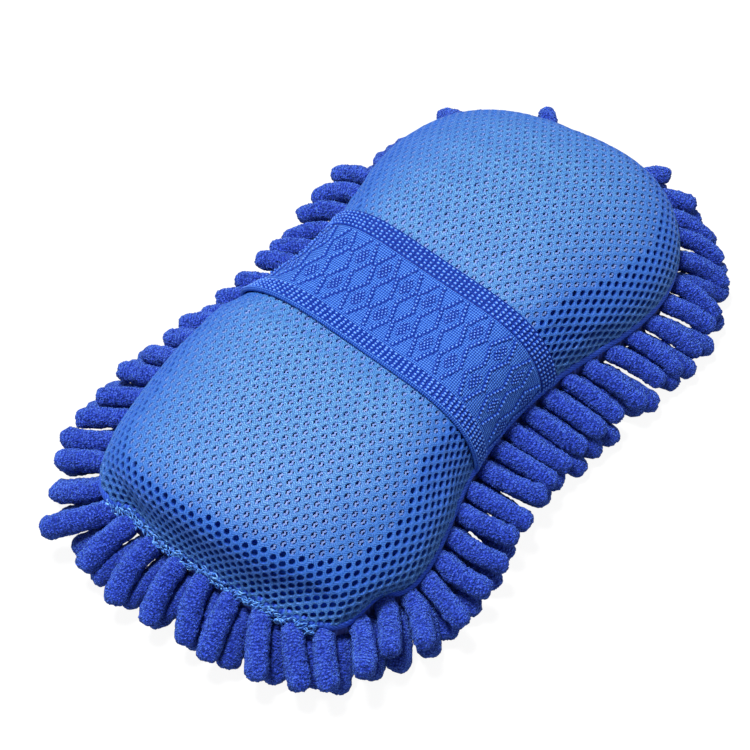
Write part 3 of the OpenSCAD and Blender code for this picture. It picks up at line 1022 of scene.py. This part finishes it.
def tape_points():
    """The tape's points, how near the top of a rib each is, and the way round in millimetres."""
    dense = np.linspace(0, 2 * math.pi, 2881)
    x, y = outline(dense, 0)
    run = np.concatenate([[0], np.cumsum(np.hypot(np.diff(x), np.diff(y)))])
    along = np.linspace(0, run[-1], rounds + 1)[:-1]
    even = np.interp(along, run, dense)
    cx, cy = outline(even, 0)
    ax, ay = outline(even - 1e-3, 0)
    bx, by = outline(even + 1e-3, 0)
    size = np.hypot(bx - ax, by - ay)
    nx, ny = (by - ay) / size, -(bx - ax) / size
    over_strap = eased(np.clip((strap_width / 2 + 3 - np.abs(cx)) / 5, 0, 1))
    tucked = np.clip((even - 2.6) / 0.12, 0, 1) * np.clip((3.85 - even) / 0.12, 0, 1)

    def ring(out, z):
        return np.stack([cx + nx * out, cy + ny * out, np.full(rounds, z)], -1)

    rows, ribs = [ring(-0.2, tape_low + 0.1)], []
    for level in range(levels + 1):
        t = level / levels
        swell = math.sin(math.pi * min(1, t * 1.02)) ** 0.5 if 0 < t < 1 else 0
        wave = np.sin(2 * math.pi * (along / (run[-1] / rib_count) + rib_slant * t))
        ribs.append(0.5 + 0.5 * wave)
        out = 0.1 + (0.55 + rib_height * wave) * swell + over_strap * 0.75 - 0.5 * t - 1.1 * tucked
        rows.append(ring(out, tape_low + 0.1 + (tape_high - tape_low - 0.1) * t))
    rows.append(ring(-0.6, tape_high))
    return np.concatenate(rows), np.concatenate([ribs[0], *ribs, ribs[-1]]), run[-1]


tape_cloud, tape_ribs, seam_run = tape_points()
rings = levels + 3
tape_faces = [[corner % (rings * rounds) for corner in face] for face in ring_faces(rings + 1, rounds)]
seam_tape = make_piece("seam_tape_ribbed", unevened(tape_cloud) * mm, tape_faces)
float_attribute(seam_tape, "rib", tape_ribs)
face_outwards(seam_tape)
look = Finish("tape_yarn", 0.6, sheen=0.1, tint=(120, 160, 255), specular=0.15)
lint = look.noise(1200, 2.0)
# The colour follows the ribs: painted shade in the grooves and painted light on the crests.
rib_tone = look.weighed(lint, 0.4, look.weighed(look.attribute("rib"), 0.8))
tone = look.ramp(rib_tone, (0.2, 14, 40, 138), (0.55, 40, 80, 198), (1.0, 78, 122, 232))
look.cover(seam_tape, tone, lint, 0.5, 0.2)
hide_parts("seam_tape")
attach(seam_tape, "pad")
print("seam tape:", round(seam_run, 1), "mm round,", triangle_count(seam_tape), "triangles")

# %% [markdown]
# ## The frayed hem
# Round the near end the mesh was cut and overlocked by hand, and light blue loops of thread
# stand out below its edge. One loop starts as a torus. Copies of it, each turned and squeezed
# its own way, crowd along the seam between the hem's two image points.

# %% Hem of loops
seam_angles = np.linspace(0, 2 * math.pi, 1441)[:-1]
seam_x, seam_y = outline(seam_angles, 0)
seam_line = unevened(np.stack([seam_x, seam_y, np.full(len(seam_x), seam_height)], -1))
mesh_face.data.calc_loop_triangles()
face_tree = BVHTree.FromPolygons(points_of(mesh_face).tolist(),
                                 [t.vertices[:] for t in mesh_face.data.loop_triangles])
hem_ends = []
for name in ("hem_left", "hem_right"):
    spot = np.array(place_on(image_points[name], face_tree)) / mm
    hem_ends.append(int(np.argmin(np.linalg.norm(seam_line - spot, axis=1))))
print("the hem runs from", hem_ends[0] / 4, "to", hem_ends[1] / 4, "degrees round the pad")
deselect_all()
bpy.ops.mesh.primitive_torus_add(major_segments=11, minor_segments=5, major_radius=1.0, minor_radius=0.2)
loop = bpy.context.object
loop_points, loop_faces = points_of(loop), [list(f.vertices) for f in loop.data.polygons]
bpy.data.objects.remove(loop)
fray = np.random.default_rng(31)
hem_line = seam_line[hem_ends[0]:hem_ends[1]]
hem_run = run_along(hem_line)
loop_pitch, clouds = 0.3, []
for k in range(int(hem_run[-1] / loop_pitch)):
    at = k * loop_pitch + fray.uniform(-0.4, 0.4)
    middle = np.array([np.interp(at, hem_run, hem_line[:, c]) for c in range(3)])
    out = unit(np.array([middle[0] / pad_length, middle[1] / lobe_width, 0]))
    lumpy = 0.5 + 0.5 * math.sin(at / 2.3) * math.sin(at / 1.1 + 1)
    size = fray.uniform(0.5, 1.2) * (0.8 + 0.4 * lumpy)
    along_it = np.cross((0, 0, 1), out)
    tilt = fray.uniform(-0.8, 0.8)
    face_out = out * math.cos(tilt) + along_it * math.sin(tilt)
    first = np.cross(face_out, (0, 0, 1)) * fray.uniform(0.7, 1.3)
    second = np.array([0, 0, 1.0]) * fray.uniform(0.7, 1.4) + out * fray.uniform(-0.3, 0.5)
    drop = fray.uniform(-3.0, 2.2) * (0.5 + 0.5 * lumpy)
    centre = middle + out * (0.5 - 0.5 * drop) + np.array([0, 0, 0.6 + drop])
    ring = (loop_points[:, 0, None] * first + loop_points[:, 1, None] * second) * size
    clouds.append(centre + ring + loop_points[:, 2, None] * face_out * 1.3)
hem_loops = make_piece("hem_loops", np.concatenate(clouds) * mm,
                       copied_faces(loop_faces, len(clouds), len(loop_points)))
face_outwards(hem_loops)
look = Finish("hem_thread", 0.4, sheen=0.1, specular=0.5)
ply = look.noise(700, 2.0)
tone = look.ramp(ply, (0.3, 34, 82, 180), (0.5, 66, 130, 220), (0.7, 126, 192, 250))
look.cover(hem_loops, tone, ply, 0.4, 0.1)
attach(hem_loops, "pad")
print("hem:", len(clouds), "loops,", triangle_count(hem_loops), "triangles")

# %% [markdown]
# ## Chenille noodles
# Each noodle is a core with a deep pile that stands out all round, so it looks like a soft
# knobbly finger. One noodle is modelled from a cylinder: rings are cut into its side, the tip
# is rounded by insets, and the root is drawn in where it leaves the cloth.

# %% One noodle
noodle_length, noodle_radius = 28.0, 4.2


def noodle_template(sides, cuts, cap_rings):
    deselect_all()
    body_length = noodle_length - noodle_radius
    bpy.ops.mesh.primitive_cylinder_add(vertices=sides, radius=noodle_radius * mm, depth=body_length * mm,
                                        end_fill_type="NGON", location=(0, 0, body_length / 2 * mm))
    noodle = bpy.context.object
    bpy.ops.object.transform_apply(location=True)
    bpy.ops.object.mode_set(mode="EDIT")
    bpy.ops.mesh.select_all(action="DESELECT")
    shape = bmesh.from_edit_mesh(noodle.data)
    bpy.ops.mesh.select_mode(type="EDGE")
    for line in shape.edges:
        line.select = abs(line.verts[0].co.z - line.verts[1].co.z) > 1e-4
    bmesh.update_edit_mesh(noodle.data)
    bpy.ops.mesh.subdivide(number_cuts=cuts)
    bpy.ops.mesh.select_mode(type="FACE")
    for end, sign in ((body_length, 1), (0, -1)):
        bpy.ops.mesh.select_all(action="DESELECT")
        shape = bmesh.from_edit_mesh(noodle.data)
        for face in shape.faces:
            face.select = len(face.verts) == sides and abs(face.calc_center_median().z - end * mm) < 1e-5
        bmesh.update_edit_mesh(noodle.data)
        last_r, last_h = 1.0, 0.0
        for k in range(1, cap_rings + 1):
            bend = math.pi / 2 * k / (cap_rings + 1)
            r, h = math.cos(bend) ** 0.75, math.sin(bend) ** 0.8 * (1 if sign > 0 else 0.12)
            bpy.ops.mesh.inset(thickness=(last_r - r) * noodle_radius * mm,
                               depth=(h - last_h) * noodle_radius * mm)
            last_r, last_h = r, h
        bpy.ops.mesh.poke()
    bpy.ops.object.mode_set(mode="OBJECT")
    p = points_of(noodle) / mm
    t = p[:, 2] / noodle_length
    girth = np.interp(t, [-0.03, 0.0, 0.06, 0.16, 0.34, 0.65, 0.85, 1.0],
                      [0.62, 0.72, 0.9, 0.98, 1.0, 1.02, 1.02, 0.97])
    p[:, :2] *= girth[:, None]
    faces = [list(f.vertices) for f in noodle.data.polygons]
    bpy.data.objects.remove(noodle)
    return p, faces


fine_noodle = noodle_template(44, 38, 8)
plain_noodle = noodle_template(26, 22, 5)
sole_noodle = noodle_template(14, 10, 3)
print("faces in a noodle:", len(fine_noodle[1]), len(plain_noodle[1]), len(sole_noodle[1]))

# %% [markdown]
# ## Where the noodles stand
# The CAD's noodle nodes say where each one is rooted and where its tip lies. A merged copy of
# a node falls apart into single noodles. The root of each is a flat disc of many points and
# the tip a single point.

# %% Read the noodles' places
def noodle_places(node):
    copy = bmesh.new()
    copy.from_mesh(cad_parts[node].data)
    bmesh.ops.remove_doubles(copy, verts=copy.verts, dist=1e-5)
    copy.verts.ensure_lookup_table()
    seen, found = set(), []
    for first in copy.verts:
        if first.index in seen:
            continue
        seen.add(first.index)
        island, waiting = [], [first]
        while waiting:
            vertex = waiting.pop()
            island.append(vertex.co[:])
            for line in vertex.link_edges:
                other = line.other_vert(vertex)
                if other.index not in seen:
                    seen.add(other.index)
                    waiting.append(other)
        p = np.array(island) / mm
        axis = np.linalg.svd(p - p.mean(0))[2][0]
        along = (p - p.mean(0)) @ axis
        ends = [p[along < along.min() + 0.1], p[along > along.max() - 0.1]]
        ends.sort(key=len)
        found.append((ends[1].mean(0), ends[0].mean(0)))
    copy.free()
    return found


noodle_nodes = [name for name in sorted(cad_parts) if "noodles" in name]
standing = {name: noodle_places(name) for name in noodle_nodes}
print({name: len(places_there) for name, places_there in standing.items()})

# %% [markdown]
# ## Growing the noodles
# Each copy is bent along its own curve: it leaves the cloth in the CAD's direction, then falls
# under its own weight and leans to one side. The rows that show follow stations, with a
# little chance between them. The pile is then raised by displacement, broad for the uneven
# finger and fine for the nodules, and short fibres are grown on it, since pile has no hard
# outline.

# %% Grow the noodles
sway = np.random.default_rng(23)
lump_size, lump_height, nodule_size, nodule_height = 3.4, 1.2, 0.7, 0.85
upper_fibres, lower_fibres, fibre_half_width, fibre_root, floor_gap = 800, 500, 0.07, 0.1, 0.05
# Stations of the upper row, whose noodles are numbered from the far end round by the left: the
# number, the turn of the tip to the left in degrees, its fall and the length in millimetres,
# and the girth. Scratch programs tried turns, falls and lengths against the tips seen in the
# photograph. Many of the numbers in both rows come from those trials, thinned out, rounded and
# partly changed.
upper_stations = (
    (0, 24, 10, 24, 0.92), (1, 24, 0, 27, 0.92), (2, 24, 10, 24, 0.92), (4, 24, 10, 25, 0.92),
    (5, -50, 13, 19, 0.92), (8, -50, 13, 19, 0.92),
    (9, 24, 8, 23, 0.92), (11, 36, 7, 24, 0.94), (13, 30, 4, 25, 0.94), (15, 24, 1, 25, 0.94),
    (17, 18, 7, 22, 0.94), (20, 4, 8, 22, 0.96), (22, 6, 4, 23, 0.96), (24, 4, 2, 25, 0.98),
    (26, -14, 8, 23, 1.0), (27, 0, 3, 29, 1.06), (28, 10, 8, 27, 1.1), (31, 14, 9, 27, 1.06),
    (32, 0, 8, 27, 1.04), (34, 10, 6, 25, 1.02), (36, -12, -2, 24, 1.02), (38, -12, -2, 24, 1.0),
    (40, 22, 2, 24, 1.0), (43, 16, 5, 28, 0.96), (48, 0, 7, 28, 0.93), (53, 0, 10, 26, 0.92),
    (56, -8, 12, 25, 0.92), (58, -22, 10, 26, 0.92), (60, -20, 4, 28, 0.92), (61, -34, 13, 22, 0.92))
# The lower row fills the gaps, from the near left round by the near end to the right.
lower_stations = (
    (24, 8, 8, 22, 1.04), (27, -10, 9, 25, 1.1), (31, -8, 9, 26, 1.1), (33, 0, 9, 23, 1.1),
    (35, 4, 9, 21, 1.1), (36, -16, 9, 21, 1.1), (40, -20, 9, 26, 1.1),
    (42, -2, 9, 27, 1.08), (44, 12, 9, 27, 1.06), (48, 8, 9, 31, 1.04), (54, 0, 9, 28, 1.02),
    (61, 0, 9, 26, 1.0))


def round_the_pad(root):
    return math.atan2(root[1] / lobe_width, root[0] / pad_length) % (2 * math.pi)


lay_of = {}
chance = np.random.default_rng(41)
for row, stations in (("upper", upper_stations), ("lower", lower_stations)):
    roots_there = sorted((round_the_pad(root), name, k) for name in noodle_nodes if name.startswith(row)
                         for k, (root, _) in enumerate(standing[name]))
    numbers, *lays = zip(*stations)
    for number, (_, name, k) in enumerate(roots_there):
        if numbers[0] <= number <= numbers[-1]:
            lay_of[name, k] = [np.interp(number, numbers, lay) + chance.normal(0, by)
                               for lay, by in zip(lays, (4, 0.8, 0.8, 0.02))]


def noodle_line(name, k):
    """Root, middle and tip of the curve that a noodle is bent along, and its girth."""
    root, tip = standing[name][k]
    forward = (tip - root) / np.linalg.norm(tip - root)
    if (name, k) in lay_of:
        lean, fall, length, girth = lay_of[name, k]
    else:
        lean = sway.normal(0, 5 if name.startswith("lower") else 2)
        fall, length = root[2] - tip[2], np.linalg.norm(tip - root) * sway.uniform(0.95, 1.05)
        girth = sway.uniform(0.96, 1.06)
        if name.startswith("lower") and round_the_pad(root) < 2.0:
            lean, length = lean - 40, length * 0.75
    start = unevened(root[None])[0]
    flat_way = math.atan2(forward[1], forward[0])
    if name[:5] in ("upper", "lower"):
        heading = flat_way + math.radians(lean)
        level = math.sqrt(max(length ** 2 - fall ** 2, 1))
        end = start + np.array([level * math.cos(heading), level * math.sin(heading), -fall])
        first_way = np.array([math.cos(flat_way), math.sin(flat_way), -0.3 * fall / length])
        middle = start + 0.45 * length * first_way
        middle[:2] += sway.normal(0, 1.6) * np.array([-forward[1], forward[0]])
    else:
        end = start + forward * length
        middle = start + forward * length * 0.5
    return start, middle, end, girth


def bent_noodle(template, start, middle, end, girth):
    """The template's points, laid along the curve from start by middle to end."""
    t = template[:, 2] / noodle_length
    line = ((1 - t) ** 2)[:, None] * start + (2 * t * (1 - t))[:, None] * middle + (t * t)[:, None] * end
    slope = unit((1 - t)[:, None] * (middle - start) + t[:, None] * (end - middle))
    side = unit(np.cross(slope, (0.02, 0.01, 1)))
    over = np.cross(side, slope)
    return line + (template[:, 0, None] * side + template[:, 1, None] * over) * girth


def displace(piece, kind, size, strength):
    """Raises the pile by a texture of this kind, with its size and strength in millimetres."""
    texture = bpy.data.textures.new(kind.lower() + "_pile", kind)
    texture.noise_scale = size * mm
    if kind == "CLOUDS":
        texture.noise_depth = 1
    push = piece.modifiers.new("pile", "DISPLACE")
    push.texture, push.texture_coords = texture, "LOCAL"
    push.strength, push.mid_level = strength * mm, 0.5


def grow_fuzz(piece, number):
    """Joins fine pointed fibres to a piece of pile, one thin triangle each."""
    piece.data.calc_loop_triangles()
    p = points_of(piece) / mm
    faces = np.array([t.vertices[:] for t in piece.data.loop_triangles])
    a, b, c = (p[faces[:, k]] for k in range(3))
    normal = np.cross(b - a, c - a)
    area = np.linalg.norm(normal, axis=1)
    chosen = sway.choice(len(faces), number, p=area / area.sum())
    shares = sway.dirichlet((1, 1, 1), number)
    foot = (p[faces[chosen]] * shares[:, :, None]).sum(1)
    out = unit(normal[chosen] / area[chosen, None] + sway.normal(0, 0.45, (number, 3)))
    side = unit(np.cross(out, sway.normal(0, 1, (number, 3)))) * fibre_half_width
    foot, reach = foot - out * fibre_root, sway.uniform(0.5, 1.05, (number, 1))
    cloud = np.stack([foot - side, foot + side, foot + out * reach], 1)
    cloud[..., 2] = np.maximum(cloud[..., 2], floor_gap)
    fuzz = make_piece("fuzz", cloud.reshape(-1, 3) * mm, copied_faces([(0, 1, 2)], number, 3))
    # The fibres are painted paler towards their tips, a painted highlight.
    float_attribute(fuzz, "tip", np.tile([0.3, 0.3, 1], number))
    pick(piece)
    fuzz.select_set(True)
    bpy.ops.object.join()


noodle_pieces = []
for name in noodle_nodes:
    upper, lower = name.startswith("upper"), name.startswith("lower")
    template, faces = fine_noodle if upper else plain_noodle if lower else sole_noodle
    # The shade attribute is a painted shade: darker under each noodle and over the whole lower row.
    beneath = 0.5 - 0.5 * template[:, 1] / np.maximum(np.hypot(template[:, 0], template[:, 1]), 1)
    shade = beneath * 0.5 + (0.3 if lower else 0) if upper or lower else beneath * 0
    clouds = [bent_noodle(template, *noodle_line(name, k)) for k in range(len(standing[name]))]
    piece = make_piece("chenille_" + name, np.concatenate(clouds) * mm,
                       copied_faces(faces, len(clouds), len(template)))
    float_attribute(piece, "along", np.tile(template[:, 2] / noodle_length, len(clouds)))
    float_attribute(piece, "shade", np.tile(shade, len(clouds)))
    float_attribute(piece, "tip", np.zeros(len(clouds) * len(template)))
    pick(piece)
    bpy.ops.object.shade_smooth()
    displace(piece, "CLOUDS", lump_size, lump_height)
    if upper or lower:
        displace(piece, "VORONOI", nodule_size, nodule_height)
    apply_modifiers(piece)
    cloud = points_of(piece)
    cloud[:, 2] = np.maximum(cloud[:, 2], floor_gap * mm)
    set_points(piece, cloud)
    if upper or lower:
        grow_fuzz(piece, (upper_fibres if upper else lower_fibres) * len(clouds))
    noodle_pieces.append(piece)
print("noodles:", sum(triangle_count(p) for p in noodle_pieces), "triangles, largest",
      max(triangle_count(p) for p in noodle_pieces))

# %% [markdown]
# ## The finish of the chenille
# Microfibre pile is matt, with a pale bloom where it is seen at a low angle. Small nodules
# stand in loose rows round the finger, painted lighter on top and with painted shade in the
# gaps. A painted shade darkens the underside of each noodle and all of the lower row, and the
# fibres that stand out are painted pale, a painted highlight at the edges.

# %% Chenille finish
look = Finish("chenille_pile", 0.9, sheen=0.65, tint=(110, 160, 255), specular=0.12)
nodule = look.add("ShaderNodeTexVoronoi", {"feature": "SMOOTH_F1"}, Vector=look.stirred(600, 0.001),
                  Scale=1250, Smoothness=0.2).outputs["Distance"]
ridge_run = look.weighed(look.attribute("along"), 2 * math.pi * 22)
ridge_phase = look.weighed(look.noise(260, 1.0), 16.0, ridge_run)
ridges = look.math("SINE", ridge_phase)
# Nodule depth sets the colour: painted shade in the gaps, painted light on the tops.
depth = look.weighed(look.noise(2300, 2.0), 0.55, look.math("SUBTRACT", 0.62, nodule))
depth = look.weighed(ridges, 0.12, depth)
tone = look.ramp(depth, (0.2, 14, 30, 122), (0.42, 36, 60, 188), (0.62, 60, 92, 224), (0.9, 104, 138, 250))
tone = look.mix(look.weighed(look.noise(90, 2.0), 0.3), tone, (44, 70, 190))
# Painted shade from the shade attribute.
tone = look.mix(look.attribute("shade"), tone, (16, 30, 116))
# Painted highlight on the fibres from the tip attribute.
tone = look.mix(look.weighed(look.attribute("tip"), 0.8), tone, (64, 98, 226))
for piece, name in zip(noodle_pieces, noodle_nodes):
    look.cover(piece, tone, depth, 1.0, 1.0)
    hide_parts(name)
    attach(piece, "pad")
print("chenille given to", len(noodle_pieces), "pieces")

# %% [markdown]
# ## The base cloth
# The noodles are tufted through a knitted cloth, which turns up at the sides to meet the
# mesh. Most of it is hidden. The CAD's tray is copied, welded and softened, and the tufts
# pull a dimple at each root.

# %% Base cloth
cloth_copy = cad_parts["base_cloth"].data.copy()
base_cloth = bpy.data.objects.new("base_cloth_knit", cloth_copy)
bpy.context.scene.collection.objects.link(base_cloth)
edit_all(base_cloth, bpy.ops.mesh.remove_doubles, threshold=0.01 * mm)
grid_step, dimple, dimple_reach = 1.1 * mm, 0.7 * mm, 2.5 * mm
grid = base_cloth.modifiers.new("even grid", "REMESH")
grid.mode, grid.voxel_size = "VOXEL", grid_step
apply_modifiers(base_cloth)
cloth_points = points_of(base_cloth)
roots = np.array([root for name in noodle_nodes if "sole" in name or "centre" in name
                  for root, _ in standing[name]]) * mm
for root in roots:
    away = np.linalg.norm(cloth_points[:, :2] - root[:2], axis=1)
    under = cloth_points[:, 2] < (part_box("base_cloth")[0].z + 0.5 * mm)
    cloth_points[:, 2] += np.where(under, dimple * np.exp(-(away / dimple_reach) ** 2), 0)
set_points(base_cloth, unevened(cloth_points / mm) * mm)
bpy.ops.object.shade_smooth()
look = Finish("base_knit", 0.85, sheen=0.2, tint=(170, 190, 255))
weft, warp = (look.add("ShaderNodeTexWave", {"bands_direction": way}, Vector=look.place(),
                       Scale=scale, Distortion=1.0).outputs["Fac"] for way, scale in (("X", 170), ("Y", 210)))
knit = look.weighed(weft, warp)
tone = look.ramp(knit, (0.0, 22, 40, 116), (0.6, 46, 74, 168), (1.0, 62, 92, 190))
look.cover(base_cloth, tone, knit, 0.5, 0.3)
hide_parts("base_cloth")
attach(base_cloth, "pad")
print("base cloth:", triangle_count(base_cloth), "triangles")

# %% [markdown]
# ## The finished points
# The finished vertices are seen through the camera, and rays are cast from the strap's rolled
# edge towards the eye, past the pad, the strap and the upper noodles.

# %% Finished points
shown_pieces = [mesh_face, strap_ground, bead_work, seam_tape, *noodle_pieces]
whole = np.concatenate([points_of(piece) for piece in shown_pieces])
cover_at = pixels_of(points_of(mesh_face))
# A strap corner is the last place of the strap's rolled edge that neither pad nor noodles hide.
hiding_points, hiding_faces = [], []
for piece in (mesh_face, strap_ground, *(p for p in noodle_pieces if "upper" in p.name)):
    piece.data.calc_loop_triangles()
    first = sum(map(len, hiding_points))
    hiding_faces += [[first + k for k in t.vertices] for t in piece.data.loop_triangles]
    hiding_points.append(points_of(piece))
hiding_tree = BVHTree.FromPolygons(np.concatenate(hiding_points).tolist(), hiding_faces)
edge_steps, rolled_at, rolled_rise = 200, 25.5, 1.7
ends_of_edge = {"strap_near_left": (-1, -1), "strap_far_left": (1, -1),
                "strap_near_right": (-1, 1), "strap_far_right": (1, 1)}
for name, (edge_side, way_along) in ends_of_edge.items():
    run_v = np.linspace(0.5, 0.5 + 0.5 * way_along, edge_steps)
    edge_line = over_pad(np.full(edge_steps, edge_side * rolled_at), run_v,
                         np.full(edge_steps, rolled_rise)) * mm
    for spot in edge_line:
        toward = (eye - Vector(spot)).normalized()
        hiding_tree.ray_cast(Vector(spot) + toward * 1.2 * mm, toward)[0] is None
